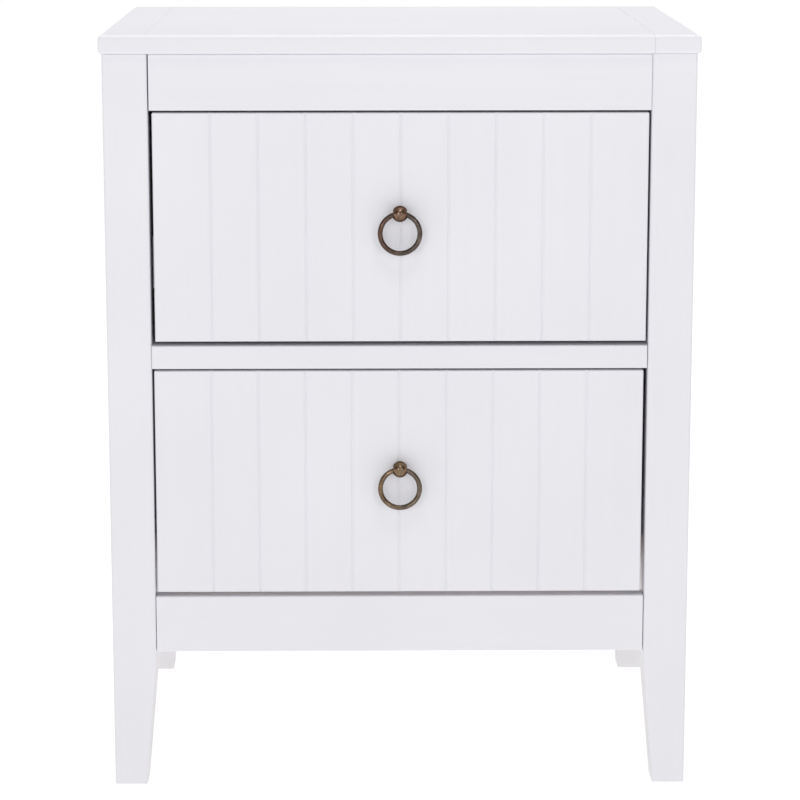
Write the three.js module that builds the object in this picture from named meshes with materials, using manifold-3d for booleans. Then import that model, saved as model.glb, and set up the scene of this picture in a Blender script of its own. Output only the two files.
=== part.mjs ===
// Two-drawer nightstand in painted wood: a slab top with breadboard ends on four tapered legs,
// tenoned rails, beaded panels, and two inset drawers on full-extension ball slides with ring pulls.
// Millimetres, +Z up, the front faces -Y. The origin is on the floor, at the centre of the box
// around the whole nightstand, pulls included.
import * as THREE from 'three';
import { mergeVertices } from 'three/addons/utils/BufferGeometryUtils.js';
import Module from 'manifold-3d';

const wasm = await Module();
wasm.setup();

// ---- Driving dimensions ----

const TOP_WIDTH = 508;
const TOP_DEPTH = 381;
const HEIGHT = 660;
const TOP_THICK = 16;
const FIT = 0.3; // glue line or running gap between neighbouring pieces
const OVERRUN = 1; // how far a cutting solid runs past the piece that it cuts

const LEG = 38; // square section
const LEG_SPAN = 503; // outside to outside across the front
const FOOT = 28.4; // section at the floor, after the taper of the two inner faces
const TAPER_TOP = 109; // height where the taper starts
const LEG_EASE = 2; // radius of a leg's long arrises

const TOP_OVERHANG_FRONT = 4.5;
const TOP_OVERHANG_BACK = 2.5;
const RAIL_SETBACK = 1.5; // leg face to front rail face
const FACE_SETBACK = 1.5; // front rail face to drawer face
const SIDE_SETBACK = 2; // leg face to side or back rail face

const BREADBOARD = 39; // width of an end board
const NOSE = 3; // radius along the slab's upper edges
const UNDER_EASE = 0.8; // radius along the slab's lower edges
const TONGUE_LENGTH = 8;
const TONGUE_THICK = 5;
const TONGUE_STOP = 15; // the tongue ends this far from the slab's front and back edges

const TOP_RAIL = 48; // height of the rails under the slab
const LOW_RAIL = 50; // height of the rails under the drawers
const LOW_RAIL_Z = 121;
const DIVIDER = 20; // height of the rail between the drawers
const DIVIDER_DEPTH = 45;
const RAIL_THICK = 20;
const SIDE_RAIL_THICK = 18;
const RAIL_EASE = 1.2;
const TENON = 18; // length
const TENON_THICK = 8;
const TENON_SHOULDER = 4; // above and below a tenon

const PANEL = 6; // side panels
const PANEL_EASE = 0.5;
const BACK_PANEL = 5;
const PANEL_GROOVE = 8; // depth that a panel is housed

const BEAD_PITCH = 40.5;
const BEAD_WIDTH = 3; // width of a V groove at the face
const BEAD_DEPTH = 1.1;
const FRONT_BEADS = 9;
const SIDE_BEADS = 7;

const GAP_SIDE = 2.5; // drawer front to leg, before its sideways adjustment
const FRONT_SHIFT = { lower: -0.7, upper: 0.7 }; // sideways adjustment of each drawer front
const GAP_ABOVE = 2;
const GAP_BELOW = 3.6;
const FACE_THICK = 18;
const FACE_EASE = 1.2;

const BOX_LENGTH = 310;
const BOX_HEIGHT = 150;
const BOX_RISE = 15; // bottom edge of the drawer box above the bottom edge of its front
const BOX_WALL = 12;
const BOX_FLOOR = 5;
const BOX_FLOOR_RISE = 10;
const BOX_GROOVE = 6;

const SLIDE_SPACE = 12.7; // between a leg and the drawer box
const SLIDE_LENGTH = 300;
const SLIDE_START = 26; // behind the drawer face
const SLIDE_RISE = 65; // centre line above the bottom edge of the drawer front
const STEEL = 1.2;
const CLEAT_HEIGHT = 60;
const CLEAT_THICK = 18;
const TOP_CLEAT = 20;

const BALL_R = 6.9;
const BALL_FLAT = 5.9; // the ball's middle to the flat that is cut on its left and right
const PULL_REACH = 10.4; // drawer face to the ring's axis
const PULL_RISE = 13.5; // ring's axis above the middle of the drawer front
const NECK_R = 3.6;
const COLLAR_R = 5.2;
const COLLAR_THICK = 1.6;
const COLLAR_SLOPE = 1; // length of the cone from the collar to the neck
const EYE_R = 3.3; // cross hole through the ball
const RING_R = 16.9; // to the middle of the wire
const WIRE_R = 2.1;
const SCREW_R = 2;
const SCREW_BITE = 5.5; // length of screw inside the ball's neck
const SCREW_HEAD_R = 4.5;
const SCREW_HEAD = 2.8;
const SCREW_HEAD_EASE = 1;

const ARC_STEPS = 3;
const ROUND_STEPS = 20;
const BALL_STEPS = 9;
const RING_STEPS = 36;
const WIRE_STEPS = 10;

// ---- Places worked out from them ----

const FACE_BACKSET = TOP_OVERHANG_FRONT + RAIL_SETBACK + FACE_SETBACK;
const PULL_PROUD = PULL_REACH + BALL_R - FACE_BACKSET;
const TOP_FRONT = (PULL_PROUD - TOP_DEPTH) / 2;
const TOP_BACK = TOP_FRONT + TOP_DEPTH;
const TOP_UNDER = HEIGHT - TOP_THICK;
const LEG_FRONT = TOP_FRONT + TOP_OVERHANG_FRONT;
const LEG_BACK = TOP_BACK - TOP_OVERHANG_BACK;
const LEG_TOP = TOP_UNDER - FIT;
const RAIL_FRONT = LEG_FRONT + RAIL_SETBACK;
const FACE_Y = RAIL_FRONT + FACE_SETBACK;
const BAY = LEG_SPAN / 2 - LEG; // half the width between the legs
const BAY_FRONT = LEG_FRONT + LEG; // between the front and back legs
const BAY_BACK = LEG_BACK - LEG;
const SIDE_FACE = LEG_SPAN / 2 - SIDE_SETBACK;
const BACK_FACE = LEG_BACK - SIDE_SETBACK;

const TOP_RAIL_Z = TOP_UNDER - TOP_RAIL;
const LOW_RAIL_TOP = LOW_RAIL_Z + LOW_RAIL;
const OPENING = (TOP_RAIL_Z - LOW_RAIL_TOP - DIVIDER) / 2; // height of one drawer's opening
const DIVIDER_Z = LOW_RAIL_TOP + OPENING;
const FACE_HEIGHT = OPENING - GAP_ABOVE - GAP_BELOW;

// ---- Tools: solids from three.js geometry, and spans along an axis ----

function solid(geometry) {
  geometry.deleteAttribute('normal');
  geometry.deleteAttribute('uv');
  const merged = mergeVertices(geometry, 1e-4);
  return new wasm.Manifold(new wasm.Mesh({
    numProp: 3,
    vertProperties: merged.attributes.position.array,
    triVerts: Uint32Array.from(merged.index.array),
  }));
}

function middle([low, high]) {
  return (low + high) / 2;
}

function around(centre, size) {
  return [centre - size / 2, centre + size / 2];
}

function grow([low, high], by) {
  return [low - by, high + by];
}

// The same span on the left (side -1) or the right (side 1) of the middle.
function onSide(side, [low, high]) {
  return side > 0 ? [low, high] : [-high, -low];
}

function box(x, y, z) {
  const geometry = new THREE.BoxGeometry(x[1] - x[0], y[1] - y[0], z[1] - z[0]);
  return solid(geometry.translate(middle(x), middle(y), middle(z)));
}

// An outline is drawn in (y, z) for a prism along x, in (x, z) along y and in (x, y) along z.
const PRISM_BASES = {
  x: [[0, 1, 0], [0, 0, 1], [1, 0, 0]],
  y: [[1, 0, 0], [0, 0, 1], [0, -1, 0]],
  z: [[1, 0, 0], [0, 1, 0], [0, 0, 1]],
};

function prism(axis, outline, [from, to]) {
  const shape = Array.isArray(outline)
    ? new THREE.Shape(outline.map(([u, v]) => new THREE.Vector2(u, v)))
    : outline;
  const geometry = new THREE.ExtrudeGeometry(shape, {
    depth: to - from,
    curveSegments: ARC_STEPS,
    bevelEnabled: false,
  });
  const [u, v, w] = PRISM_BASES[axis].map((column) => new THREE.Vector3(...column));
  geometry.applyMatrix4(new THREE.Matrix4().makeBasis(u, v, w));
  const start = axis === 'y' ? -to : from; // the base along y runs backwards, to stay right-handed
  return solid(geometry.translate(...w.multiplyScalar(start).toArray()));
}

// A rectangle with rounded corners; the two upper ones can have their own radius.
function easedRect([u0, u1], [v0, v1], lower, upper = lower) {
  const quarter = Math.PI / 2;
  const shape = new THREE.Shape();
  shape.absarc(u1 - lower, v0 + lower, lower, -quarter, 0);
  shape.absarc(u1 - upper, v1 - upper, upper, 0, quarter);
  shape.absarc(u0 + upper, v1 - upper, upper, quarter, 2 * quarter);
  shape.absarc(u0 + lower, v0 + lower, lower, 2 * quarter, 3 * quarter);
  return shape;
}

// Outline of a board whose face (at v = face) has V grooves; back is the plain side.
function beadedBoard([u0, u1], face, back, beads, ease) {
  const inward = Math.sign(back - face);
  const points = [[u0, back], [u0, face + inward * ease], [u0 + ease, face]];
  for (let i = 0; i < beads; i += 1) {
    const centre = middle([u0, u1]) + (i - (beads - 1) / 2) * BEAD_PITCH;
    points.push([centre - BEAD_WIDTH / 2, face]);
    points.push([centre, face + inward * BEAD_DEPTH]);
    points.push([centre + BEAD_WIDTH / 2, face]);
  }
  points.push([u1 - ease, face], [u1, face + inward * ease], [u1, back]);
  return points;
}

const FINISHES = {
  paint: { color: 0xebebee, roughness: 0.42, metalness: 0 },
  birch: { color: 0xd8bf98, roughness: 0.6, metalness: 0 },
  steel: { color: 0xb7babd, roughness: 0.35, metalness: 1 },
  bronze: { color: 0x6a4a3c, roughness: 0.4, metalness: 1 },
  brass: { color: 0x80603f, roughness: 0.38, metalness: 1 },
};

const nightstand = new THREE.Group();

function place(parent, name, piece, finish) {
  const { vertProperties, triVerts } = piece.getMesh();
  const geometry = new THREE.BufferGeometry();
  geometry.setAttribute('position', new THREE.BufferAttribute(vertProperties, 3));
  geometry.setIndex(new THREE.BufferAttribute(triVerts, 1));
  geometry.computeVertexNormals();
  const mesh = new THREE.Mesh(geometry, new THREE.MeshStandardMaterial(FINISHES[finish]));
  mesh.name = name;
  parent.add(mesh);
}

const SIDES = [['left', -1], ['right', 1]];

// ---- Top: a panel between two breadboard ends, tongued together ----

function buildTop() {
  const x = around(0, TOP_WIDTH);
  const y = [TOP_FRONT, TOP_BACK];
  const z = [TOP_UNDER, HEIGHT];
  const slab = prism('x', easedRect(y, z, UNDER_EASE, NOSE), x)
    .intersect(prism('y', easedRect(x, z, UNDER_EASE, NOSE), y));
  const joint = TOP_WIDTH / 2 - BREADBOARD;
  const tongueY = grow(y, -TONGUE_STOP);
  const tongueZ = around(TOP_UNDER + TOP_THICK / 2, TONGUE_THICK);
  const tongues = box(around(0, 2 * (joint + TONGUE_LENGTH)), tongueY, tongueZ);
  const [pastY, pastZ] = [grow(y, OVERRUN), grow(z, OVERRUN)];
  const centre = slab.intersect(box(around(0, 2 * joint - FIT), pastY, pastZ)).add(tongues);
  place(nightstand, 'top_panel', centre, 'paint');

  const groove = box(around(0, 2 * (joint + TONGUE_LENGTH + FIT)), grow(tongueY, FIT), grow(tongueZ, FIT));
  for (const [word, side] of SIDES) {
    const end = slab.intersect(box(onSide(side, [joint, TOP_WIDTH]), pastY, pastZ));
    place(nightstand, `top_breadboard_${word}`, end.subtract(groove), 'paint');
  }
}

// ---- Rails: each has a stub tenon at both ends, and the legs are mortised for all of them ----

const tenons = [];

function buildRail(name, axis, [from, to], across, z, panelHousing) {
  const piece = prism(axis, easedRect(across, z, RAIL_EASE), [from + FIT, to - FIT]);
  const tenonAcross = around(middle(across), TENON_THICK);
  const tenonZ = grow(z, -TENON_SHOULDER);
  const reach = grow([from, to], TENON);
  const spans = axis === 'x' ? [reach, tenonAcross, tenonZ] : [tenonAcross, reach, tenonZ];
  tenons.push(spans);
  const whole = piece.add(box(...spans));
  place(nightstand, name, panelHousing ? whole.subtract(panelHousing) : whole, 'paint');
}

// ---- Panels, housed in grooves of the legs and rails ----

const SIDE_PANEL_FACE = SIDE_FACE - (SIDE_RAIL_THICK - PANEL) / 2;
const BACK_PANEL_Y = BACK_FACE - RAIL_THICK / 2;
const PANEL_Z = grow([LOW_RAIL_TOP, TOP_RAIL_Z], PANEL_GROOVE - FIT);

function sidePanelSpans(side) {
  return [
    onSide(side, [SIDE_PANEL_FACE - PANEL, SIDE_PANEL_FACE]),
    grow([BAY_FRONT, BAY_BACK], PANEL_GROOVE - FIT),
    PANEL_Z,
  ];
}

const BACK_PANEL_SPANS = [
  grow([-BAY, BAY], PANEL_GROOVE - FIT),
  around(BACK_PANEL_Y, BACK_PANEL),
  PANEL_Z,
];

function housing(spans) {
  return box(...spans.map((span) => grow(span, FIT)));
}

function buildPanels() {
  for (const [word, side] of SIDES) {
    const [x, y, z] = sidePanelSpans(side);
    const [face, back] = side > 0 ? [x[1], x[0]] : [x[0], x[1]];
    const outline = beadedBoard(y, face, back, SIDE_BEADS, PANEL_EASE);
    const turnedOutline = outline.map(([along, across]) => [across, along]);
    place(nightstand, `side_panel_${word}`, prism('z', turnedOutline, z), 'paint');
  }
  place(nightstand, 'back_panel', box(...BACK_PANEL_SPANS), 'paint');
}

function buildRails() {
  const bay = [-BAY, BAY];
  const topZ = [TOP_RAIL_Z, LEG_TOP];
  const lowZ = [LOW_RAIL_Z, LOW_RAIL_TOP];
  const front = [RAIL_FRONT, RAIL_FRONT + RAIL_THICK];
  const back = [BACK_FACE - RAIL_THICK, BACK_FACE];
  const backPanel = housing(BACK_PANEL_SPANS);
  buildRail('front_rail_top', 'x', bay, front, topZ);
  buildRail('front_rail_middle', 'x', bay, [RAIL_FRONT, RAIL_FRONT + DIVIDER_DEPTH],
    [DIVIDER_Z, DIVIDER_Z + DIVIDER]);
  buildRail('front_rail_bottom', 'x', bay, front, lowZ);
  buildRail('back_rail_top', 'x', bay, back, topZ, backPanel);
  buildRail('back_rail_bottom', 'x', bay, back, lowZ, backPanel);
  for (const [word, side] of SIDES) {
    const across = onSide(side, [SIDE_FACE - SIDE_RAIL_THICK, SIDE_FACE]);
    const panel = housing(sidePanelSpans(side));
    buildRail(`side_rail_top_${word}`, 'y', [BAY_FRONT, BAY_BACK], across, topZ, panel);
    buildRail(`side_rail_bottom_${word}`, 'y', [BAY_FRONT, BAY_BACK], across, lowZ, panel);
  }
}

// ---- Legs: square above, tapered on the two inner faces below ----

// Outline of the wedge that the taper removes, from the inner face (at u = inner) towards the outer one.
function taperWedge(inner, towards) {
  const slope = (LEG - FOOT) / TAPER_TOP;
  const clear = inner - towards * OVERRUN;
  const foot = inner + towards * slope * (TAPER_TOP + OVERRUN);
  return [[inner, TAPER_TOP], [clear, TAPER_TOP], [clear, -OVERRUN], [foot, -OVERRUN]];
}

function buildLegs() {
  for (const [endWord, end] of [['front', -1], ['back', 1]]) {
    for (const [sideWord, side] of SIDES) {
      const x = onSide(side, [BAY, BAY + LEG]);
      const y = end < 0 ? [LEG_FRONT, BAY_FRONT] : [BAY_BACK, LEG_BACK];
      const innerX = side * BAY;
      const innerY = end < 0 ? BAY_FRONT : BAY_BACK;
      let leg = prism('z', easedRect(x, y, LEG_EASE), [0, LEG_TOP])
        .subtract(prism('y', taperWedge(innerX, side), grow(y, OVERRUN)))
        .subtract(prism('x', taperWedge(innerY, end), grow(x, OVERRUN)))
        .subtract(housing(sidePanelSpans(side)));
      for (const spans of tenons) {
        leg = leg.subtract(housing(spans));
      }
      if (end > 0) {
        leg = leg.subtract(housing(BACK_PANEL_SPANS));
      }
      place(nightstand, `leg_${endWord}_${sideWord}`, leg, 'paint');
    }
  }
}

// Strips inside the side rails that the top is screwed down through.
function buildTopCleats() {
  for (const [word, side] of SIDES) {
    const inner = SIDE_FACE - SIDE_RAIL_THICK - FIT;
    const x = onSide(side, [inner - TOP_CLEAT, inner]);
    const strip = box(x, grow([BAY_FRONT, BAY_BACK], -FIT), [LEG_TOP - TOP_CLEAT, LEG_TOP]);
    place(nightstand, `top_cleat_${word}`, strip, 'birch');
  }
}

// ---- Drawers. Here y = 0 is the drawer's face and z = 0 is the bottom edge of its front ----

const FACE_HALF = BAY - GAP_SIDE;
const BOX_HALF = BAY - SLIDE_SPACE;
const BOX_Y = [FACE_THICK + FIT, FACE_THICK + FIT + BOX_LENGTH];
const BOX_Z = [BOX_RISE, BOX_RISE + BOX_HEIGHT];
const FLOOR_Z = [BOX_RISE + BOX_FLOOR_RISE, BOX_RISE + BOX_FLOOR_RISE + BOX_FLOOR];
const SUBFRONT_BACK = BOX_Y[0] + BOX_WALL;
const PULL_Z = FACE_HEIGHT / 2 + PULL_RISE;

// A round solid on the axis x = 0, z = PULL_Z, from points of (radius, y).
function turned(points) {
  const profile = points.map(([r, y]) => new THREE.Vector2(r, y));
  return solid(new THREE.LatheGeometry(profile, ROUND_STEPS)).translate([0, 0, PULL_Z]);
}

function screwHole(y, radius) {
  return turned([[0, y[0]], [radius, y[0]], [radius, y[1]], [0, y[1]]]);
}

// Outline of a steel channel whose web stands at x = web and whose lips reach to x = lip.
function channel(web, lip, half) {
  const inside = web + Math.sign(lip - web) * STEEL;
  const low = SLIDE_RISE - half;
  const high = SLIDE_RISE + half;
  return [
    [web, low], [lip, low], [lip, low + STEEL], [inside, low + STEEL],
    [inside, high - STEEL], [lip, high - STEEL], [lip, high], [web, high],
  ];
}

// The three members of a ball slide, as distances from the leg towards the drawer box.
const SLIDE_MEMBERS = {
  cabinet: { web: FIT, lip: 10.1, half: 22.5 },
  middle: { web: 3.7, lip: 10.5, half: 17.5 },
  drawer: { web: SLIDE_SPACE - FIT, lip: 5.9, half: 12.5 },
};

function buildSlides(station, level) {
  const length = [SLIDE_START, SLIDE_START + SLIDE_LENGTH];
  for (const [word, side] of SIDES) {
    for (const [member, { web, lip, half }] of Object.entries(SLIDE_MEMBERS)) {
      const outline = channel(side * (BAY - web), side * (BAY - lip), half);
      place(station, `slide_${member}_${level}_${word}`, prism('y', outline, length), 'steel');
    }
    const cleatY = grow([BAY_FRONT - FACE_Y, BAY_BACK - FACE_Y], -FIT);
    const cleat = box(onSide(side, [BAY, BAY + CLEAT_THICK]), cleatY, around(SLIDE_RISE, CLEAT_HEIGHT));
    place(station, `slide_cleat_${level}_${word}`, cleat, 'birch');
  }
}

function buildDrawerBox(station, level) {
  const floorGroove = grow(FLOOR_Z, FIT);
  for (const [word, side] of SIDES) {
    const outer = side * BOX_HALF;
    const inner = side * (BOX_HALF - BOX_WALL);
    const grooved = side * (BOX_HALF - BOX_WALL + BOX_GROOVE);
    const outline = [
      [outer, BOX_Z[0]], [inner, BOX_Z[0]],
      [inner, floorGroove[0]], [grooved, floorGroove[0]], [grooved, floorGroove[1]], [inner, floorGroove[1]],
      [inner, BOX_Z[1]], [outer, BOX_Z[1]],
    ];
    place(station, `drawer_side_${level}_${word}`, prism('y', outline, BOX_Y), 'birch');
  }
  const inside = around(0, 2 * (BOX_HALF - BOX_WALL - FIT));
  const floorX = grow(inside, BOX_GROOVE);
  const floorY = [SUBFRONT_BACK - BOX_GROOVE + FIT, BOX_Y[1]];
  const subfront = box(inside, [BOX_Y[0], SUBFRONT_BACK], BOX_Z)
    .subtract(box(grow(floorX, OVERRUN), grow(floorY, FIT), floorGroove))
    .subtract(screwHole(grow([BOX_Y[0], SUBFRONT_BACK], OVERRUN), SCREW_R + FIT));
  place(station, `drawer_subfront_${level}`, subfront, 'birch');
  const backZ = [FLOOR_Z[1] + FIT, BOX_Z[1]];
  place(station, `drawer_back_${level}`, box(inside, [BOX_Y[1] - BOX_WALL, BOX_Y[1]], backZ), 'birch');
  place(station, `drawer_bottom_${level}`, box(floorX, floorY, FLOOR_Z), 'birch');
}

function buildDrawerFront(station, level) {
  const x = around(FRONT_SHIFT[level], 2 * FACE_HALF);
  const outline = beadedBoard(x, 0, FACE_THICK, FRONT_BEADS, FACE_EASE);
  const front = prism('z', outline, [0, FACE_HEIGHT])
    .subtract(screwHole([-OVERRUN, FACE_THICK + OVERRUN], SCREW_R + FIT));
  place(station, `drawer_front_${level}`, front, 'paint');
}

// The pull's post: a collar on the drawer face, a neck, and a ball with two flats and a cross hole
// between them for the ring.
function pullPost() {
  const coneEnd = -COLLAR_THICK - COLLAR_SLOPE;
  const points = [[0, -FIT], [COLLAR_R, -FIT], [COLLAR_R, -COLLAR_THICK], [NECK_R, coneEnd]];
  const neckAngle = Math.asin(NECK_R / BALL_R);
  for (let i = 0; i <= BALL_STEPS; i += 1) {
    const angle = neckAngle + (Math.PI - neckAngle) * (i / BALL_STEPS);
    const radius = i === BALL_STEPS ? 0 : BALL_R * Math.sin(angle);
    points.push([radius, -PULL_REACH + BALL_R * Math.cos(angle)]);
  }
  const eye = new THREE.CylinderGeometry(EYE_R, EYE_R, 4 * BALL_R, ROUND_STEPS);
  eye.rotateZ(Math.PI / 2);
  eye.translate(0, -PULL_REACH, PULL_Z);
  const bore = screwHole([-SCREW_BITE - FIT, 0], SCREW_R + FIT);
  const betweenFlats = box(around(0, 2 * BALL_FLAT), [-2 * PULL_REACH, 0], around(PULL_Z, 4 * BALL_R));
  return turned(points.reverse()).intersect(betweenFlats).subtract(solid(eye)).subtract(bore);
}

function pullRing() {
  const wire = new THREE.TorusGeometry(RING_R, WIRE_R, WIRE_STEPS, RING_STEPS);
  wire.rotateX(Math.PI / 2);
  return solid(wire.translate(0, -PULL_REACH, PULL_Z - RING_R));
}

function pullScrew() {
  const seat = SUBFRONT_BACK + FIT;
  const dome = seat + SCREW_HEAD;
  return turned([
    [0, -SCREW_BITE], [SCREW_R, -SCREW_BITE], [SCREW_R, seat],
    [SCREW_HEAD_R, seat], [SCREW_HEAD_R, dome - SCREW_HEAD_EASE],
    [SCREW_HEAD_R - SCREW_HEAD_EASE, dome], [0, dome],
  ]);
}

function buildDrawer(level, openingZ, pullFinish) {
  const station = new THREE.Group();
  station.position.set(0, FACE_Y, openingZ + GAP_BELOW);
  nightstand.add(station);
  buildDrawerFront(station, level);
  buildDrawerBox(station, level);
  buildSlides(station, level);
  place(station, `pull_post_${level}`, pullPost(), pullFinish);
  place(station, `pull_ring_${level}`, pullRing(), pullFinish);
  place(station, `pull_screw_${level}`, pullScrew(), 'steel');
}

buildTop();
buildRails();
buildPanels();
buildLegs();
buildTopCleats();
buildDrawer('lower', LOW_RAIL_TOP, 'brass');
buildDrawer('upper', DIVIDER_Z + DIVIDER, 'bronze');

export default nightstand;
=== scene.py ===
"""Looks of a white painted two-drawer nightstand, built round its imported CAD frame.

Blender units are metres. The nightstand stands on z = 0 and faces -Y. Every size comes from the
CAD nodes' boxes or from the named values below, which are in millimetres.
"""

import math

import bmesh
import bpy
from mathutils import Matrix, Vector


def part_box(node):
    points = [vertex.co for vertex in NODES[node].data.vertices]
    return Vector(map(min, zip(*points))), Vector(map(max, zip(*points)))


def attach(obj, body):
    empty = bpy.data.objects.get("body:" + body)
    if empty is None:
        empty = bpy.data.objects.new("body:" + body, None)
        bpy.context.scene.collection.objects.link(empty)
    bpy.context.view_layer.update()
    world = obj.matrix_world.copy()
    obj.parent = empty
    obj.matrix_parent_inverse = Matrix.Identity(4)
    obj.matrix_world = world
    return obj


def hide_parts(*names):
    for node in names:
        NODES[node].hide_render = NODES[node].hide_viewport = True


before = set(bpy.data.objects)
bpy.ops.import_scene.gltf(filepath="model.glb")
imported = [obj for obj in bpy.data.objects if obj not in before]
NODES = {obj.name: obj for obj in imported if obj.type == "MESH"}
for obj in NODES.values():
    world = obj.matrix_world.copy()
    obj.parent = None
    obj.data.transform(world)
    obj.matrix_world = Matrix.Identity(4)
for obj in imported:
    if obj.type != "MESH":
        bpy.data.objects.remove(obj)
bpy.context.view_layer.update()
SCENE = bpy.context.scene
MM = 0.001

LEVELS = ("lower", "upper")
SIDES = {"left": -1, "right": 1}

# ---- Sizes of the fine shapes, in millimetres ----

LEG_EASE = 2.0
LEG_FOOT = 28.4  # section at the floor, after the taper
TAPER_TOP = 109.0
TAPER_BLEND = 3.0  # half the height over which the taper starts
FOOT_EASE = 0.8
END_EASE = 0.15
RAIL_EASE = 1.2
JOINT_GAP = 0.2
OPEN_JOINTS = {  # joints between a front rail and a leg that stand open a little further
    ("front_rail_top", "left"): 1.0,
    ("front_rail_middle", "right"): 0.5,
    ("front_rail_bottom", "left"): 0.5,
    ("front_rail_bottom", "right"): 0.6,
}
NOSE = 4.0  # radius along the slab's upper edges
UNDER_EASE = 3.0  # and along its lower edges
SLAB_CORNER = 1.5
BOARD_GAP = {"left": 0.0, "right": 0.1}  # the left breadboard joint is closed, the right one shows
BOARD_BEVEL = {"left": 0.15, "right": 0.7}

BEAD_PITCH = 40.5
BEAD_WIDTH = 3.2
BEAD_DEPTH = 1.1
FRONT_BEADS = 9
SIDE_BEADS = 7
FACE_EASE = 1.2
PANEL_EASE = 0.3

BALL_R = 6.9
BALL_FLAT = 5.9  # the ball's middle to each of its two flats
FLAT_STOP = 1.5  # how far from the drawer face the flats end
NECK_R = 3.6
COLLAR_R = 5.2
EYE_R = 3.3
EYE_LIP = 0.35
RING_R = 16.9
WIRE_R = 2.1
WARM_SPAN = (4.0, -18.0)  # the x at which the warm tint starts, and where it is full

# Screws: radius and height of the head, radius and length of the shank.
SMALL_SCREW = (3.4, 1.3, 1.4, 2.0)
PULL_SCREW_HEAD_R = 4.5
PULL_SCREW_SHANK_R = 2.0
PULL_SCREW_GAP = 0.3  # between the sub-front and the underside of the head
FRONT_SCREW_X = 140.0  # the screws through a sub-front: from the middle, and from its edges
FRONT_SCREW_EDGE = 30.0
CLEAT_SCREWS = (0.12, 0.5, 0.88)  # places along a top cleat, as parts of its length
SLIDE_SCREW_INSET = {"cabinet": 17.0, "drawer": 40.0}  # from the ends of a slide member
SLIDE_STEEL = 1.2

CAGE_LENGTH = 72.0
CAGE_STEEL = 0.4
CAGE_BALLS = 8
CAGE_BALL_R = 1.7
# A cage's web, lips and balls, as distances from the middle of the piece, and its half height.
OUTER_CAGE = (211.1, 205.0, 206.6, 19.6)
INNER_CAGE = (208.3, 203.4, 205.2, 14.6)
OUTER_CAGE_INSET = 36.0  # from the back end of the middle member
INNER_CAGE_INSET = 38.0  # from its front end

# ---- Stage; lengths in metres ----

FLOOR_GLOW = 0.9
FLOOR_HALF = 14.0
HORIZON_LEVEL = 1.03
WALL_LEVELS = ((0.35, 0.54), (0.85, 0.2))  # in front and behind, then to the sides
ABOVE_HORIZON = ((0.095, 0.0), (0.14, 1.0))  # where the white band ends and the walls begin

LENS = 127.0
FRAME_SHIFT = -0.04
CAMERA_X = -0.028
CAMERA_HEIGHT = 0.835
CAMERA_DISTANCE = 2.38  # from the front of the top
AIM_HEIGHT = 0.3753

# Softboxes: place, the point they face, (width, height) and watts.
FRONT_AIM = (0, 0, 0.35)
SOFTBOXES = {
    "left_softbox": ((-1.2, -2.95, 1.1), FRONT_AIM, (0.6, 1.0), 9.3),
    "right_softbox": ((1.2, -2.95, 1.2), FRONT_AIM, (0.6, 1.0), 7.7),
    "front_softbox": ((0.15, -1.35, 2.7), FRONT_AIM, (0.9, 0.5), 7),
    "top_softbox": ((0, 0.5, 2.6), (0, 0.15, 0.5), (2.0, 1.5), 29),
}


# ---- Mesh tools ----


def finish_mesh(name, bm, body, material, replaces=(), weighted=True):
    """Turns a bmesh into a smooth-shaded piece that rides on a CAD body."""
    bmesh.ops.remove_doubles(bm, verts=bm.verts, dist=1e-6)
    bmesh.ops.recalc_face_normals(bm, faces=bm.faces)
    mesh = bpy.data.meshes.new(name)
    bm.to_mesh(mesh)
    bm.free()
    piece = bpy.data.objects.new(name, mesh)
    SCENE.collection.objects.link(piece)
    dress(piece, body, material, replaces)
    if weighted:
        add_weighted_normals(piece)
    return piece


def dress(piece, body, material, replaces=(), sharp_angle=35):
    """Gives a piece its shading and material, and tells the frame where it belongs."""
    piece.data.materials.clear()
    piece.data.materials.append(material)
    piece.data.shade_smooth()
    piece.data.set_sharp_from_angle(angle=math.radians(sharp_angle))
    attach(piece, body)
    if replaces:
        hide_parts(*replaces)


def add_weighted_normals(piece):
    """Keeps big flat faces flat beside rounded edges."""
    modifier = piece.modifiers.new("flat_faces", "WEIGHTED_NORMAL")
    modifier.keep_sharp = True
    modifier.weight = 100


def loose_solid(name, bm):
    """A plain object: a solid to cut, what cuts it, or the floor."""
    bmesh.ops.recalc_face_normals(bm, faces=bm.faces)
    mesh = bpy.data.meshes.new(name)
    bm.to_mesh(mesh)
    bm.free()
    solid = bpy.data.objects.new(name, mesh)
    SCENE.collection.objects.link(solid)
    return solid


def cut_away(piece, cutters):
    """Boolean cut, applied, with the cutters removed afterwards."""
    for cutter in cutters:
        modifier = piece.modifiers.new("cut", "BOOLEAN")
        modifier.operation = "DIFFERENCE"
        modifier.solver = "EXACT"
        modifier.object = cutter
    bpy.context.view_layer.update()
    evaluated = piece.evaluated_get(bpy.context.evaluated_depsgraph_get())
    cut = bpy.data.meshes.new_from_object(evaluated)
    whole = piece.data
    piece.modifiers.clear()
    piece.data = cut
    bpy.data.meshes.remove(whole)
    for cutter in cutters:
        bpy.data.objects.remove(cutter)


def shrunk(span, by):
    return (span[0] + by, span[1] - by)


def on_side(sign, near, far):
    """The span between two distances from the middle, on the left (-1) or the right (1)."""
    return (near, far) if sign > 0 else (-far, -near)


# Which coordinates (u, v) lie across a piece and which one (w) runs along it.
ACROSS_ALONG = {"x": (1, 2, 0), "y": (0, 2, 1), "z": (0, 1, 2)}


def placed(axis, u, v, w):
    point = [0.0, 0.0, 0.0]
    for index, value in zip(ACROSS_ALONG[axis], (u, v, w)):
        point[index] = value
    return point


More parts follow.
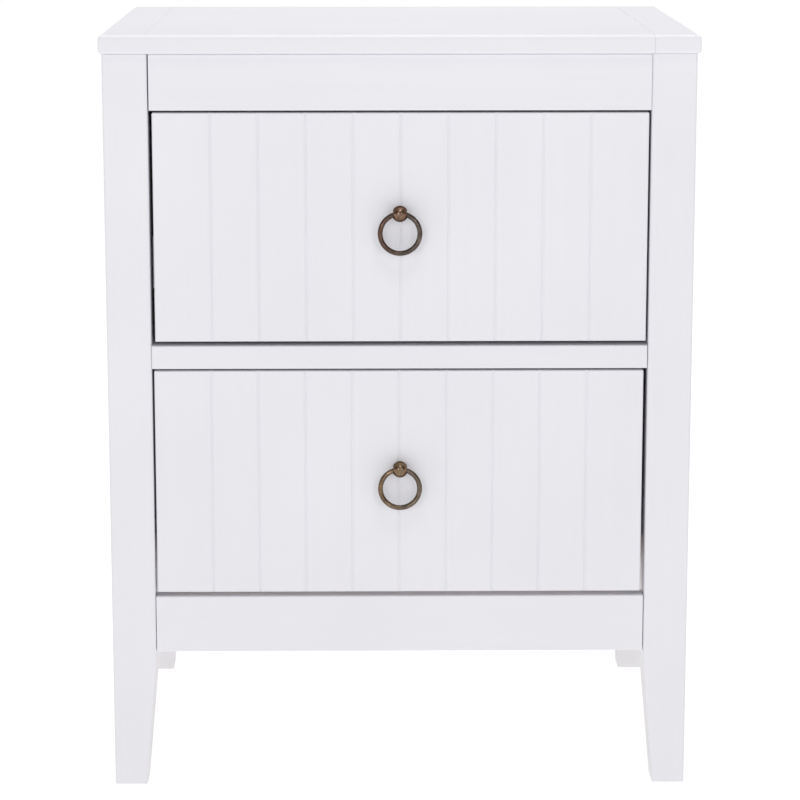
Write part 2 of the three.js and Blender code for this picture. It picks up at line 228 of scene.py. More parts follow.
def rounded_rectangle(u, v, radius, steps=5):
    """Points round a rectangle with rounded corners; u and v are (low, high) spans."""
    inner_u, inner_v = shrunk(u, radius), shrunk(v, radius)
    corners = ((1, 0, -90), (1, 1, 0), (0, 1, 90), (0, 0, 180))
    points = []
    for at_u, at_v, start in corners:
        for i in range(steps + 1):
            angle = math.radians(start + 90 * i / steps)
            across = inner_u[at_u] + radius * math.cos(angle)
            points.append((across, inner_v[at_v] + radius * math.sin(angle)))
    return points


def rounded_ends(low, high, low_radius, high_radius, steps=5):
    """(position, inset) pairs along a span whose two ends are rounded over."""
    angles = [math.radians(90 * i / steps) for i in range(steps + 1)]
    rise = [(low + low_radius * (1 - math.cos(a)), low_radius * (1 - math.sin(a))) for a in angles]
    fall = [(high - high_radius * (1 - math.cos(a)), high_radius * (1 - math.sin(a))) for a in angles]
    return rise + fall[::-1]


def loft(bm, rings):
    """Closed skin through equal rings of points, with a flat cap at each end."""
    loops = [[bm.verts.new(point) for point in ring] for ring in rings]
    for low, high in zip(loops, loops[1:]):
        for i in range(len(low)):
            j = (i + 1) % len(low)
            bm.faces.new((low[i], low[j], high[j], high[i]))
    bm.faces.new(list(reversed(loops[0])))
    bm.faces.new(loops[-1])


def prism(bm, axis, outline, along):
    loft(bm, [[placed(axis, u, v, w) for u, v in outline] for w in along])


def beam(bm, axis, low, high, radius, end_ease=END_EASE * MM):
    """A board with rounded long edges and slightly eased ends."""
    u, v, w = ((low[k], high[k]) for k in ACROSS_ALONG[axis])
    rings = []
    for along, inset in rounded_ends(w[0], w[1], end_ease, end_ease, 2):
        outline = rounded_rectangle(shrunk(u, inset), shrunk(v, inset), radius)
        rings.append([placed(axis, a, b, along) for a, b in outline])
    loft(bm, rings)


def block(bm, low, high):
    """A plain box, for cutting only."""
    corners = [(low[0], low[1]), (high[0], low[1]), (high[0], high[1]), (low[0], high[1])]
    loft(bm, [[(x, y, z) for x, y in corners] for z in (low[2], high[2])])


def lathe(bm, profile, axis, origin, steps=48):
    """Turned solid: profile holds (radius, distance along axis), first and last on the axis."""
    side = Vector((0, 0, 1)) if abs(axis.z) < 0.9 else Vector((1, 0, 0))
    other = axis.cross(side)
    spokes = []
    for i in range(steps):
        turn = 2 * math.pi * i / steps
        spokes.append(side * math.cos(turn) + other * math.sin(turn))
    poles = [bm.verts.new(origin + axis * profile[i][1]) for i in (0, -1)]
    loops = []
    for radius, along in profile[1:-1]:
        loops.append([bm.verts.new(origin + axis * along + spoke * radius) for spoke in spokes])
    for low, high in zip(loops, loops[1:]):
        for i in range(steps):
            j = (i + 1) % steps
            bm.faces.new((low[i], low[j], high[j], high[i]))
    for pole, loop in ((poles[0], loops[0]), (poles[1], loops[-1])):
        for i in range(steps):
            bm.faces.new((pole, loop[i], loop[(i + 1) % steps]))


# ---- Procedural materials ----


class Surface:
    """A node material with a Principled shader and short calls for the nodes that feed it."""

    def __init__(self, name):
        self.material = bpy.data.materials.new(name)
        self.material.use_nodes = True
        self.tree = self.material.node_tree
        self.shader = self.tree.nodes["Principled BSDF"]
        self.place = self.tree.nodes.new("ShaderNodeTexCoord").outputs["Object"]

    def set(self, **values):
        for key, value in values.items():
            self.shader.inputs[key.replace("_", " ")].default_value = value

    def feed(self, socket, output):
        self.tree.links.new(output, self.shader.inputs[socket])

    def stretched(self, scale):
        node = self.tree.nodes.new("ShaderNodeMapping")
        node.inputs["Scale"].default_value = scale
        self.tree.links.new(self.place, node.inputs["Vector"])
        return node.outputs["Vector"]

    def noise(self, scale, detail=3.0, roughness=0.5, distortion=0.0, vector=None):
        node = self.tree.nodes.new("ShaderNodeTexNoise")
        node.inputs["Scale"].default_value = scale
        node.inputs["Detail"].default_value = detail
        node.inputs["Roughness"].default_value = roughness
        node.inputs["Distortion"].default_value = distortion
        self.tree.links.new(vector or self.place, node.inputs["Vector"])
        return node.outputs["Fac"]

    def contours(self, height, count):
        """Saw-toothed lines of equal height, like growth rings where a board is cut through them."""
        return self.calculate("FRACT", self.calculate("MULTIPLY", height, count))

    def calculate(self, operation, value, by=0.0):
        node = self.tree.nodes.new("ShaderNodeMath")
        node.operation = operation
        node.inputs[1].default_value = by
        self.tree.links.new(value, node.inputs[0])
        return node.outputs["Value"]

    def leftwards(self, start, end):
        """0 at x = start and 1 at x = end, further to the left."""
        split = self.tree.nodes.new("ShaderNodeSeparateXYZ")
        self.tree.links.new(self.place, split.inputs["Vector"])
        node = self.tree.nodes.new("ShaderNodeMapRange")
        node.inputs["From Min"].default_value = start
        node.inputs["From Max"].default_value = end
        self.tree.links.new(split.outputs["X"], node.inputs["Value"])
        return node.outputs["Result"]

    def edges(self):
        return self.tree.nodes.new("ShaderNodeNewGeometry").outputs["Pointiness"]

    def ramp(self, factor, stops):
        node = self.tree.nodes.new("ShaderNodeValToRGB")
        elements = node.color_ramp.elements
        while len(elements) < len(stops):
            elements.new(0.5)
        for element, (position, color) in zip(elements, stops):
            element.position = position
            element.color = (*color, 1) if len(color) == 3 else (color[0],) * 3 + (1,)
        self.tree.links.new(factor, node.inputs["Fac"])
        return node.outputs["Color"]

    def mix(self, factor, a, b, blend="MIX"):
        node = self.tree.nodes.new("ShaderNodeMix")
        node.data_type = "RGBA"
        node.blend_type = blend
        for socket, value in ((node.inputs[0], factor), (node.inputs[6], a), (node.inputs[7], b)):
            if isinstance(value, (int, float, tuple)):
                socket.default_value = value
            else:
                self.tree.links.new(value, socket)
        return node.outputs[2]

    def bump(self, height, distance, strength=1.0, under=None):
        node = self.tree.nodes.new("ShaderNodeBump")
        node.inputs["Strength"].default_value = strength
        node.inputs["Distance"].default_value = distance
        self.tree.links.new(height, node.inputs["Height"])
        if under is not None:
            self.tree.links.new(under, node.inputs["Normal"])
        return node.outputs["Normal"]


ALONG = {"x": (6, 160, 160), "y": (160, 6, 160), "z": (160, 160, 6)}


def painted_wood(name, axis):
    """Sprayed satin paint; the grain of the board under it shows faintly along the axis."""
    surface = Surface(name)
    surface.set(IOR=1.5)
    grain = surface.noise(1.0, 5.0, 0.6, 0.4, surface.stretched(ALONG[axis]))
    drift = surface.noise(7.0, 2.0)
    tone = surface.ramp(drift, [(0.3, (0.795, 0.788, 0.828)), (0.7, (0.815, 0.808, 0.848))])
    shade = surface.ramp(grain, [(0.35, (0.992,)), (0.6, (1.0,))])
    surface.feed("Base Color", surface.mix(1.0, tone, shade, "MULTIPLY"))
    surface.feed("Roughness", surface.ramp(surface.noise(55.0, 3.0), [(0.3, (0.4,)), (0.7, (0.5,))]))
    peel = surface.bump(surface.noise(900.0, 2.0), 0.00003, 0.5)
    surface.feed("Normal", surface.bump(grain, 0.00006, 0.5, peel))
    return surface.material


def clear_wood(name, axis, light, dark, rings_count):
    """Clear-sealed pale wood with growth bands and pores that run along the axis."""
    surface = Surface(name)
    surface.set(IOR=1.48)
    slow = {"x": (0.7, 11, 11), "y": (11, 0.7, 11)}[axis]
    rings = surface.contours(surface.noise(1.0, 2.0, 0.45, 0.3, surface.stretched(slow)), rings_count)
    fibre = surface.noise(1.0, 6.0, 0.7, 0.2, surface.stretched([3.0 * s for s in ALONG[axis]]))
    tone = surface.ramp(rings, [(0.0, light), (0.7, light), (1.0, dark)])
    streak = surface.ramp(fibre, [(0.3, (0.86,)), (0.62, (1.0,))])
    surface.feed("Base Color", surface.mix(1.0, tone, streak, "MULTIPLY"))
    surface.feed("Roughness", surface.ramp(fibre, [(0.3, (0.62,)), (0.7, (0.46,))]))
    surface.feed("Normal", surface.bump(fibre, 0.00015, 0.5))
    return surface.material


def zinc_steel(name):
    """Zinc-plated rolled steel with drawn lines along the slide and a mottled passivation."""
    surface = Surface(name)
    surface.set(Metallic=1.0)
    drawn = surface.noise(1.0, 4.0, 0.6, 0.0, surface.stretched((900, 14, 900)))
    mottle = surface.noise(60.0, 4.0, 0.6)
    tone = surface.ramp(mottle, [(0.3, (0.56, 0.575, 0.6)), (0.7, (0.68, 0.69, 0.7))])
    surface.feed("Base Color", tone)
    surface.feed("Roughness", surface.ramp(drawn, [(0.3, (0.24,)), (0.7, (0.4,))]))
    surface.feed("Normal", surface.bump(drawn, 0.00003, 0.4))
    return surface.material


def patinated_metal(name, dark, mid, worn, warm=None):
    """Cast brass with a brown patina, rubbed back on its high spots; warm tints its left side."""
    surface = Surface(name)
    surface.set(Metallic=1.0, Specular_Tint=(0.12, 0.1, 0.09, 1))
    cloud = surface.noise(170.0, 5.0, 0.62, 0.6)
    speck = surface.noise(900.0, 3.0, 0.6)
    tone = surface.ramp(cloud, [(0.32, dark), (0.52, mid), (0.74, worn)])
    if warm:
        warmer = surface.mix(1.0, tone, warm, "MULTIPLY")
        start, end = [x * MM for x in WARM_SPAN]
        tone = surface.mix(surface.leftwards(start, end), tone, warmer)
    high = surface.ramp(surface.edges(), [(0.5, (0.0,)), (0.62, (0.6,))])
    worn_tone = surface.mix(high, tone, (*worn, 1))
    fleck = surface.ramp(speck, [(0.35, (0.8,)), (0.6, (1.0,))])
    surface.feed("Base Color", surface.mix(1.0, worn_tone, fleck, "MULTIPLY"))
    surface.feed("Roughness", surface.ramp(cloud, [(0.3, (0.3,)), (0.7, (0.16,))]))
    surface.feed("Normal", surface.bump(cloud, 0.0001, 0.4, surface.bump(speck, 0.00002, 0.4)))
    return surface.material


PAINT = {axis: painted_wood(f"white_paint_{axis}", axis) for axis in "xyz"}
BIRCH_LIGHT, BIRCH_DARK = (0.71, 0.54, 0.36), (0.57, 0.41, 0.25)
PLY_LIGHT, PLY_DARK = (0.73, 0.58, 0.42), (0.64, 0.48, 0.32)
DRAWER_WOOD = {a: clear_wood(f"drawer_wood_{a}", a, BIRCH_LIGHT, BIRCH_DARK, 16) for a in "xy"}
PLYWOOD = clear_wood("plywood_face", "x", PLY_LIGHT, PLY_DARK, 8)
STEEL = zinc_steel("zinc_steel")
POST_METAL = {
    "upper": patinated_metal(
        "aged_bronze_post", (0.085, 0.048, 0.035), (0.2, 0.12, 0.085), (0.42, 0.29, 0.22)
    ),
    "lower": patinated_metal(
        "antique_brass_post", (0.11, 0.07, 0.042), (0.23, 0.15, 0.095), (0.46, 0.34, 0.23)
    ),
}
RING_METAL = {
    "upper": patinated_metal(
        "aged_bronze_ring", (0.07, 0.056, 0.048), (0.11, 0.088, 0.074), (0.2, 0.16, 0.13),
        warm=(1.05, 0.72, 0.66, 1),
    ),
    "lower": patinated_metal(
        "antique_brass_ring", (0.095, 0.076, 0.064), (0.15, 0.12, 0.095), (0.3, 0.22, 0.15),
        warm=(1.25, 1.05, 0.82, 1),
    ),
}


# ---- Painted outside: top, legs, rails, panels, drawer fronts ----


def build_top():
    """Three boards: a rounded nose along the free edges, a fine V along the two joints."""
    joint = {
        "left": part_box("top_breadboard_left")[1].x + BOARD_GAP["left"] * MM,
        "right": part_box("top_breadboard_right")[0].x - BOARD_GAP["right"] * MM,
    }
    for node, left_joint, right_joint in (
        ("top_breadboard_left", None, "left"),
        ("top_panel", "left", "right"),
        ("top_breadboard_right", "right", None),
    ):
        low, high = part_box(node)
        if node == "top_panel":
            low.x, high.x = joint["left"], joint["right"]
        rings = []
        for z, inset in rounded_ends(low.z, high.z, UNDER_EASE * MM, NOSE * MM, 8):
            x = (
                low.x + board_inset(left_joint, high.z - z, inset),
                high.x - board_inset(right_joint, high.z - z, inset),
            )
            y = shrunk((low.y, high.y), inset)
            outline = slab_outline(x, y, left_joint is not None, right_joint is not None)
            rings.append([(u, v, z) for u, v in outline])
        bm = bmesh.new()
        loft(bm, rings)
        paint = PAINT["x"] if node == "top_panel" else PAINT["y"]
        finish_mesh(f"{node}_painted", bm, "frame", paint, [node])


def board_inset(joint, below_top, free_inset):
    """How far a board's end lies back: a small bevel at a joint, the rounded nose elsewhere."""
    if joint is None:
        return free_inset
    return max(0.0, BOARD_BEVEL[joint] * MM - below_top)


def slab_outline(x, y, square_left, square_right, steps=5):
    """A board's outline; corners are rounded where the board has a free end."""
    radius = SLAB_CORNER * MM
    corners = (
        (x[1], y[0], -90, square_right),
        (x[1], y[1], 0, square_right),
        (x[0], y[1], 90, square_left),
        (x[0], y[0], 180, square_left),
    )
    points = []
    for corner_x, corner_y, start, square in corners:
        centre_x = corner_x + (radius if corner_x == x[0] else -radius)
        centre_y = corner_y + (radius if corner_y == y[0] else -radius)
        if square:
            points.append((corner_x, corner_y))
            continue
        for i in range(steps + 1):
            angle = math.radians(start + 90 * i / steps)
            points.append((centre_x + radius * math.cos(angle), centre_y + radius * math.sin(angle)))
    return points


def taper_cut(z, slope):
    """How far a leg's inner faces lie back at a height; the taper starts in a soft bend."""
    below, blend = TAPER_TOP * MM - z, TAPER_BLEND * MM
    if below <= -blend:
        return 0.0
    if below >= blend:
        return slope * below
    return slope * (below + blend) ** 2 / (4 * blend)


def build_legs():
    """Rounded arrises all the way down, with the two inner faces tapered to the foot."""
    for end in ("front", "back"):
        for side, sign in SIDES.items():
            node = f"leg_{end}_{side}"
            low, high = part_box(node)
            slope = (high.x - low.x - LEG_FOOT * MM) / (TAPER_TOP * MM)
            bend = [(TAPER_TOP + TAPER_BLEND * step / 2) * MM for step in (-2, -1, 0, 1, 2)]
            levels = rounded_ends(0, high.z, FOOT_EASE * MM, END_EASE * MM, 3)
            levels = sorted(levels + [(z, 0.0) for z in bend])
            rings = []
            for z, ease in levels:
                cut = taper_cut(z, slope)
                x = (low.x + (cut if sign > 0 else 0), high.x - (cut if sign < 0 else 0))
                y = (low.y + (cut if end == "back" else 0), high.y - (cut if end == "front" else 0))
                outline = rounded_rectangle(shrunk(x, ease), shrunk(y, ease), LEG_EASE * MM)
                rings.append([(u, v, z) for u, v in outline])
            bm = bmesh.new()
            loft(bm, rings)
            finish_mesh(f"{node}_painted", bm, "frame", PAINT["z"], [node])


def build_rails():
    """Rails and drawer divider between the legs, with softly rounded long edges."""
    bay_x = (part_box("leg_front_left")[1].x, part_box("leg_front_right")[0].x)
    bay_y = (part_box("leg_front_left")[1].y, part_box("leg_back_left")[0].y)
    for node in [name for name in NODES if "_rail_" in name]:
        low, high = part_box(node)
        if node.startswith("side"):
            axis = "y"
            low.y, high.y = shrunk(bay_y, JOINT_GAP * MM)
        else:
            axis = "x"
            low.x = bay_x[0] + OPEN_JOINTS.get((node, "left"), JOINT_GAP) * MM
            high.x = bay_x[1] - OPEN_JOINTS.get((node, "right"), JOINT_GAP) * MM
        bm = bmesh.new()
        beam(bm, axis, low, high, RAIL_EASE * MM)
        finish_mesh(f"{node}_painted", bm, "frame", PAINT[axis], [node])


# One V groove: (across, depth) as parts of its width and depth, with softened shoulders and floor.
HALF_GROOVE = ((-0.62, 0.0), (-0.5, 0.04), (-0.42, 0.16), (-0.08, 0.9))
GROOVE = HALF_GROOVE + ((0.0, 1.0),) + tuple((-a, d) for a, d in reversed(HALF_GROOVE))


def beaded_outline(u, face, back, beads, ease):
    """Outline of a board with V grooves in its face, as (along the board, through it) points."""
    inward = 1 if back > face else -1
    corner = [math.radians(90 * i / 4) for i in range(5)]
    rise = [(ease * (1 - math.cos(a)), face + inward * ease * (1 - math.sin(a))) for a in corner]
    points = [(u[0], back)] + [(u[0] + a, b) for a, b in rise]
    for i in range(beads):
        centre = (u[0] + u[1]) / 2 + (i - (beads - 1) / 2) * BEAD_PITCH * MM
        for a, depth in GROOVE:
            points.append((centre + a * BEAD_WIDTH * MM, face + inward * depth * BEAD_DEPTH * MM))
    return points + [(u[1] - a, b) for a, b in reversed(rise)] + [(u[1], back)]


def beaded_board(bm, u, face, back, z, beads, ease, through_first=False):
    """A board stood on end; through_first puts its thickness along X in place of Y."""
    outline = beaded_outline(u, face, back, beads, ease)
    rings = []
    for height, inset in rounded_ends(z[0], z[1], ease, ease, 4):
        near, far = shrunk(u, inset)
        ring = []
        for a, b in outline:
            if b != back:
                a = min(max(a, near), far)
                b = max(b, face + inset) if back > face else min(b, face - inset)
            ring.append((b, a, height) if through_first else (a, b, height))
        rings.append(ring)
    loft(bm, rings)


def build_drawer_fronts():
    for level in LEVELS:
        node = f"drawer_front_{level}"
        low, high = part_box(node)
        bm = bmesh.new()
        beaded_board(bm, (low.x, high.x), low.y, high.y, (low.z, high.z), FRONT_BEADS, FACE_EASE * MM)
        finish_mesh(f"{node}_painted", bm, f"drawer_{level}", PAINT["z"], [node])


def build_side_panels():
    for side, sign in SIDES.items():
        node = f"side_panel_{side}"
        low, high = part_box(node)
        face, back = (high.x, low.x) if sign > 0 else (low.x, high.x)
        span_y, span_z = (low.y, high.y), (low.z, high.z)
        bm = bmesh.new()
        beaded_board(bm, span_y, face, back, span_z, SIDE_BEADS, PANEL_EASE * MM, through_first=True)
        finish_mesh(f"{node}_painted", bm, "frame", PAINT["z"], [node])


# ---- Ring pulls ----


def pull_axis(level):
    """The middle of the ball and of the cross hole that the ring hangs in."""
    ring_low, ring_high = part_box(f"pull_ring_{level}")
    return Vector((0, (ring_low.y + ring_high.y) / 2, ring_high.z - WIRE_R * MM))


def post_profile(reach):
    """(radius, distance from the drawer face) round the collar, the neck and the ball."""
    profile = [(0, 0), (COLLAR_R - 0.25, 0), (COLLAR_R, 0.25), (COLLAR_R, 0.75)]
    profile += [(COLLAR_R - 0.3, 1.15), (NECK_R + 0.75, 1.3), (NECK_R + 0.2, 1.75), (NECK_R, 2.4)]
    start = math.pi - math.asin(NECK_R / BALL_R)
    steps = 32
    for i in range(steps):
        angle = start * (1 - i / steps)
        profile.append((BALL_R * math.sin(angle), reach + BALL_R * math.cos(angle)))
    return profile + [(0, reach + BALL_R)]


def build_post(level):
    """A turned post whose ball has a flat on the left and right, drilled through between them."""
    centre = pull_axis(level)
    face_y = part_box(f"pull_post_{level}")[1].y
    bm = bmesh.new()
    profile = [(r * MM, a * MM) for r, a in post_profile((face_y - centre.y) / MM)]
    lathe(bm, profile, Vector((0, -1, 0)), Vector((0, face_y, centre.z)), 72)
    post = loose_solid(f"pull_post_{level}_turned", bm)
    reach = 2 * BALL_R * MM
    bm = bmesh.new()
    eye = [(0, -reach), (EYE_R * MM, -reach), (EYE_R * MM, reach), (0, reach)]
    lathe(bm, eye, Vector((1, 0, 0)), centre)
    cutters = [loose_solid("eye_cutter", bm)]
    flat_stop = face_y - FLAT_STOP * MM
    for sign in SIDES.values():
        x = on_side(sign, BALL_FLAT * MM, reach)
        bm = bmesh.new()
        block(bm, (x[0], centre.y - reach, centre.z - reach), (x[1], flat_stop, centre.z + reach))
        cutters.append(loose_solid("flat_cutter", bm))
    cut_away(post, cutters)
    rim = post.modifiers.new("eased_rim", "BEVEL")
    rim.width = EYE_LIP * MM
    rim.segments = 3
    rim.limit_method = "ANGLE"
    rim.angle_limit = math.radians(38)
    rim.use_clamp_overlap = True
    dress(post, f"drawer_{level}", POST_METAL[level], [f"pull_post_{level}"], 38)
    add_weighted_normals(post)


def build_ring(level):
    """A bent wire ring, very slightly uneven as a cast one is."""
    hole = pull_axis(level)
    centre = hole - Vector((0, 0, RING_R * MM))
    turns, section = 128, 24
    bm = bmesh.new()
    loops = []
    for i in range(turns):
        turn = 2 * math.pi * i / turns
        spoke = Vector((math.sin(turn), 0, math.cos(turn)))
        wire = WIRE_R * MM * (1 + 0.006 * math.sin(5 * turn) + 0.004 * math.sin(11 * turn + 1))
        loop = []
        for k in range(section):
            tilt = 2 * math.pi * k / section
            offset = spoke * math.cos(tilt) + Vector((0, 1, 0)) * math.sin(tilt)
            loop.append(bm.verts.new(centre + spoke * RING_R * MM + offset * wire))
        loops.append(loop)
    for low, high in zip(loops, loops[1:] + loops[:1]):
        for k in range(section):
            m = (k + 1) % section
            bm.faces.new((low[k], low[m], high[m], high[k]))
    name, node = f"pull_ring_{level}_wire", f"pull_ring_{level}"
    finish_mesh(name, bm, f"ring_{level}", RING_METAL[level], [node], weighted=False)


# ---- Screws ----


def screw_mesh(head_radius, head_height, shank_radius, shank_length):
    """A pan-head screw along +Z with its head above z = 0 and a cross recess in the head."""
    profile = [(0, -shank_length), (shank_radius, -shank_length), (shank_radius, 0), (head_radius, 0)]
    for i in range(7):
        angle = math.radians(90 * i / 6)
        dome = head_height * (0.35 + 0.65 * math.sin(angle))
        profile.append((head_radius * (0.55 + 0.45 * math.cos(angle)), dome))
    profile.append((0, head_height))
    bm = bmesh.new()
    lathe(bm, profile, Vector((0, 0, 1)), Vector((0, 0, 0)), 32)
    screw = loose_solid("screw", bm)
    arm, width = 0.52 * head_radius, 0.13 * head_radius
    cutters = []
    for x, y in ((arm, width), (width, arm)):
        bm = bmesh.new()
        block(bm, (-x, -y, 0.4 * head_height), (x, y, 2 * head_height))
        cutters.append(loose_solid("recess_cutter", bm))
    cut_away(screw, cutters)
    mesh = screw.data
    bpy.data.objects.remove(screw)
    return mesh


def place_screws(name, body, mesh, spots, direction, replaces=()):
    """One piece made of a screw at each spot: heads face the direction, each turned its own way."""
    bm = bmesh.new()
    turn = Vector((0, 0, 1)).rotation_difference(direction).to_matrix().to_4x4()
    for i, spot in enumerate(spots):
        before = len(bm.verts)
        bm.from_mesh(mesh)
        bm.verts.ensure_lookup_table()
        spin = Matrix.Rotation(math.radians(20 + 37 * i), 4, "Z")
        bmesh.ops.transform(bm, matrix=Matrix.Translation(spot) @ turn @ spin, verts=bm.verts[before:])
    finish_mesh(name, bm, body, STEEL, replaces, weighted=False)


def build_screws():
    """Pull screws, the screws that hold each drawer front, and those of the slides and cleats."""
    small = screw_mesh(*[size * MM for size in SMALL_SCREW])
    inward = Vector((0, 1, 0))
    for level in LEVELS:
        drawer, node = f"drawer_{level}", f"pull_screw_{level}"
        low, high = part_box(node)
        front_low, front_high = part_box(f"drawer_subfront_{level}")
        under_head = front_high.y + PULL_SCREW_GAP * MM
        head, shank = high.y - under_head, front_high.y - low.y
        pull_screw = screw_mesh(PULL_SCREW_HEAD_R * MM, head, PULL_SCREW_SHANK_R * MM, shank)
        spot = Vector((0, under_head, pull_axis(level).z))
        place_screws(f"{node}_head", drawer, pull_screw, [spot], inward, [node])
        spots = []
        for sign in SIDES.values():
            for z in shrunk((front_low.z, front_high.z), FRONT_SCREW_EDGE * MM):
                spots.append(Vector((sign * FRONT_SCREW_X * MM, front_high.y, z)))
        place_screws(f"front_screws_{level}", drawer, small, spots, inward)
        for side, sign in SIDES.items():
            build_slide_screws(level, side, sign, small)
    for side, sign in SIDES.items():
        low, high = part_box(f"top_cleat_{side}")
        middle_x = (low.x + high.x) / 2
        spots = [Vector((middle_x, low.y + (high.y - low.y) * part, low.z)) for part in CLEAT_SCREWS]
        place_screws(f"top_screws_{side}", "frame", small, spots, Vector((0, 0, -1)))


def build_slide_screws(level, side, sign, mesh):
    """Screws through the webs of the cabinet and drawer members, which the middle one clears."""
    for member, body, facing in (("cabinet", "frame", -sign), ("drawer", f"drawer_{level}", sign)):
        low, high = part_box(f"slide_{member}_{level}_{side}")
        web = low.x if facing > 0 else high.x
        face = web + facing * SLIDE_STEEL * MM
        ends = shrunk((low.y, high.y), SLIDE_SCREW_INSET[member] * MM)
        spots = [Vector((face, y, (low.z + high.z) / 2)) for y in ends]
        name = f"slide_{member}_screws_{level}_{side}"
        place_screws(name, body, mesh, spots, Vector((facing, 0, 0)))


# ---- Ball cages of the slides ----


def build_cage(name, level, sign, cage, start, centre_z):
    """A thin channel with a row of balls in each lip."""
    web, lip, ball_x, half = [value * MM for value in cage]
    steel = CAGE_STEEL * MM
    inside = web - steel
    outline = [(web, -half), (lip, -half), (lip, -half + steel), (inside, -half + steel)]
    outline += [(u, -v) for u, v in reversed(outline)]
    outline = [(sign * u, centre_z + v) for u, v in outline]
    bm = bmesh.new()
    prism(bm, "y", outline, (start, start + CAGE_LENGTH * MM))
    pitch = CAGE_LENGTH * MM / CAGE_BALLS
    for i in range(CAGE_BALLS):
        y = start + pitch * (i + 0.5)
        for row in (-1, 1):
            spot = Vector((sign * ball_x, y, centre_z + row * (half - steel / 2)))
            bmesh.ops.create_icosphere(
                bm, subdivisions=3, radius=CAGE_BALL_R * MM, matrix=Matrix.Translation(spot)
            )
    finish_mesh(name, bm, f"slides_{level}", STEEL, weighted=False)


def build_cages():
    """Each slide has one cage outside its middle member and one inside it."""
    for level in LEVELS:
        low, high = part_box(f"slide_middle_{level}_left")
        centre_z = (low.z + high.z) / 2
        outer_start = high.y - (OUTER_CAGE_INSET + CAGE_LENGTH) * MM
        inner_start = low.y + INNER_CAGE_INSET * MM
        for side, sign in SIDES.items():
            build_cage(f"outer_cage_{level}_{side}", level, sign, OUTER_CAGE, outer_start, centre_z)
            build_cage(f"inner_cage_{level}_{side}", level, sign, INNER_CAGE, inner_start, centre_z)


# ---- CAD nodes that stay: eased edges and a better material ----


def ease_node(node, width, material):
    """Joins the CAD mesh's split faces, rounds its sharp edges and gives it its material."""
    piece = NODES[node]
    weld = piece.modifiers.new("join", "WELD")
    weld.merge_threshold = 1e-6
    merge = piece.modifiers.new("merge_flats", "DECIMATE")
    merge.decimate_type = "DISSOLVE"
    merge.angle_limit = math.radians(1)
    bevel = piece.modifiers.new("ease", "BEVEL")
    bevel.width = width * MM
    bevel.segments = 2
    bevel.limit_method = "ANGLE"
    bevel.angle_limit = math.radians(40)
    add_weighted_normals(piece)
    piece.data.materials.clear()
    piece.data.materials.append(material)


def dress_cad_nodes():
    for level in LEVELS:
        for side in SIDES:
            ease_node(f"drawer_side_{level}_{side}", 0.8, DRAWER_WOOD["y"])
            ease_node(f"slide_cleat_{level}_{side}", 0.6, DRAWER_WOOD["y"])
            for member in ("cabinet", "middle", "drawer"):
                ease_node(f"slide_{member}_{level}_{side}", 0.3, STEEL)
        ease_node(f"drawer_subfront_{level}", 0.8, DRAWER_WOOD["x"])
        ease_node(f"drawer_back_{level}", 0.8, DRAWER_WOOD["x"])
        ease_node(f"drawer_bottom_{level}", 0.3, PLYWOOD)
    ease_node("back_panel", 0.3, PAINT["z"])
    for side in SIDES:
        ease_node(f"top_cleat_{side}", 0.6, DRAWER_WOOD["y"])


# ---- Stage, light and camera ----


def build_stage():
    """A white light table: it glows softly, so only a faint shadow lies on it."""
    bm = bmesh.new()
    bmesh.ops.create_grid(bm, x_segments=2, y_segments=2, size=FLOOR_HALF)
    floor = loose_solid("floor", bm)
    surface = Surface("light_table")
    surface.set(Roughness=0.9, Specular_IOR_Level=0.1)
    surface.set(Emission_Color=(1, 1, 1, 1), Emission_Strength=FLOOR_GLOW)
    tone = surface.ramp(surface.noise(3.0, 2.0), [(0.3, (0.22,)), (0.7, (0.23,))])
    surface.feed("Base Color", tone)
    floor.data.materials.append(surface.material)


def build_lights():
    for name, (place, aim, size, power) in SOFTBOXES.items():
        data = bpy.data.lights.new(name, "AREA")
        data.shape = "RECTANGLE"
        data.size, data.size_y = size
        data.energy = power
        lamp = bpy.data.objects.new(name, data)
        lamp.location = place
        lamp.rotation_euler = (Vector(aim) - Vector(place)).to_track_quat("-Z", "Y").to_euler()
        SCENE.collection.objects.link(lamp)


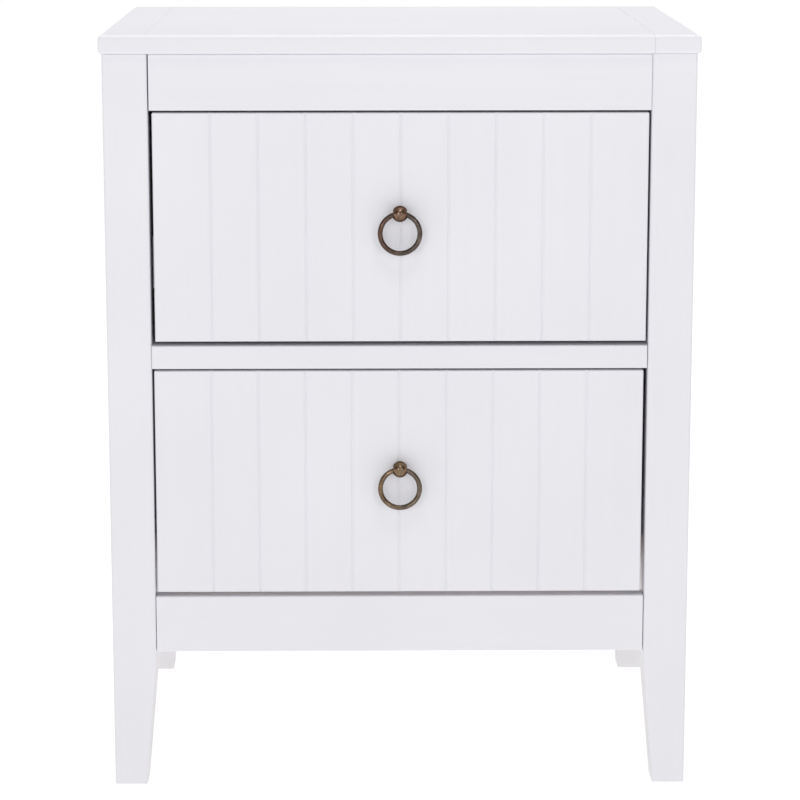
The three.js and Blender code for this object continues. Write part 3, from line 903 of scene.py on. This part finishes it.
def build_world():
    """White at the horizon, so that it meets the floor unseen; dimmer above and to the sides."""
    world = bpy.data.worlds.new("studio")
    world.use_nodes = True
    nodes, links = world.node_tree.nodes, world.node_tree.links
    split = nodes.new("ShaderNodeSeparateXYZ")
    links.new(nodes.new("ShaderNodeTexCoord").outputs["Generated"], split.inputs["Vector"])
    sideways = nodes.new("ShaderNodeMath")
    sideways.operation = "ABSOLUTE"
    links.new(split.outputs["X"], sideways.inputs[0])
    wall = world_ramp(world, sideways.outputs["Value"], WALL_LEVELS)
    above = world_ramp(world, split.outputs["Z"], ABOVE_HORIZON)
    blend = nodes.new("ShaderNodeMix")
    blend.data_type = "RGBA"
    links.new(above, blend.inputs[0])
    blend.inputs[6].default_value = (HORIZON_LEVEL, HORIZON_LEVEL, HORIZON_LEVEL, 1)
    links.new(wall, blend.inputs[7])
    links.new(blend.outputs[2], nodes["Background"].inputs["Color"])
    SCENE.world = world


def world_ramp(world, factor, stops):
    node = world.node_tree.nodes.new("ShaderNodeValToRGB")
    for element, (position, level) in zip(node.color_ramp.elements, stops):
        element.position = position
        element.color = (level, level, level, 1)
    world.node_tree.links.new(factor, node.inputs["Fac"])
    return node.outputs["Color"]


def build_camera():
    data = bpy.data.cameras.new("camera")
    data.lens = LENS
    data.sensor_width = 36
    data.shift_y = FRAME_SHIFT
    data.clip_end = 60
    camera = bpy.data.objects.new("camera", data)
    front_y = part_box("top_panel")[0].y
    camera.location = (CAMERA_X, front_y - CAMERA_DISTANCE, CAMERA_HEIGHT)
    aim = Vector((0, front_y, AIM_HEIGHT))
    camera.rotation_euler = (aim - camera.location).to_track_quat("-Z", "Y").to_euler()
    SCENE.collection.objects.link(camera)
    SCENE.camera = camera


SCENE.view_settings.view_transform = "Standard"
build_camera()
build_world()
build_lights()
build_stage()
build_top()
build_legs()
build_rails()
build_drawer_fronts()
build_side_panels()
for drawer_level in LEVELS:
    build_post(drawer_level)
    build_ring(drawer_level)
build_screws()
build_cages()
dress_cad_nodes()
